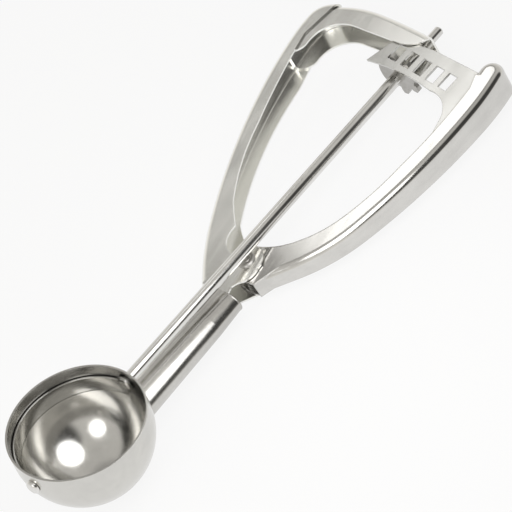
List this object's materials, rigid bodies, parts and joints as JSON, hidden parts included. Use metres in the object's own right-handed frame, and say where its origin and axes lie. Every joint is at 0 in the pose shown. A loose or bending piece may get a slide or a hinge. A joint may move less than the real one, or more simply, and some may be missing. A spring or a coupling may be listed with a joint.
{
  "type": "squeeze handle ice cream scoop",
  "caption": "Stainless scoop with a round bowl; squeezing the sprung grip drives a slotted rack that turns a spindle and sweeps a scraper round the bowl.",
  "frame": {"origin": "centre of the bounding box's footprint, on the plane that the bowl and the pinion's lowest tooth touch", "axes": "+X from the bowl towards the grips' free end, +Z out of the open bowl, +Y towards the fixed grip"},
  "size_m": [0.2306, 0.0864, 0.0327],
  "materials": {
    "satin_steel": "satin stainless steel sheet",
    "polished_steel": "polished stainless steel",
    "spring_steel": "drawn spring wire"
  },
  "bodies": {
    "fixed_frame": {"bowl": "satin_steel", "stem": "polished_steel", "fixed_grip": "satin_steel", "cap_arm": "satin_steel", "hinge_rivet": "polished_steel", "hinge_spacer": "satin_steel", "hinge_washers": "satin_steel", "front_pivot_pin": "polished_steel", "return_spring": "spring_steel"},
    "squeeze_handle": {"moving_grip": "polished_steel", "rack_plate": "satin_steel"},
    "scraper_shaft": {"spindle": "polished_steel", "pinion": "satin_steel", "scraper_blade": "satin_steel"}
  },
  "joints": [
    {"name": "handle_squeeze", "type": "hinge", "parent": "fixed_frame", "child": "squeeze_handle", "pos_m": [-0.0009, -0.00042, 0.01286], "axis": [-0.068, 0, 0.9977], "range_deg": [0, 13.2], "stiffness_Nm_per_rad": 1.2, "springref_deg": -6.88, "deforming": ["return_spring"]},
    {"name": "scraper_turn", "type": "hinge", "parent": "fixed_frame", "child": "scraper_shaft", "pos_m": [-0.08867, -0.00042, 0.025], "axis": [0.9962, 0, -0.0877], "range_deg": [-152, 1]}
  ],
  "couplings": [
    {"joint": "scraper_turn", "follows": "handle_squeeze", "ratio": -11.388}
  ]
}
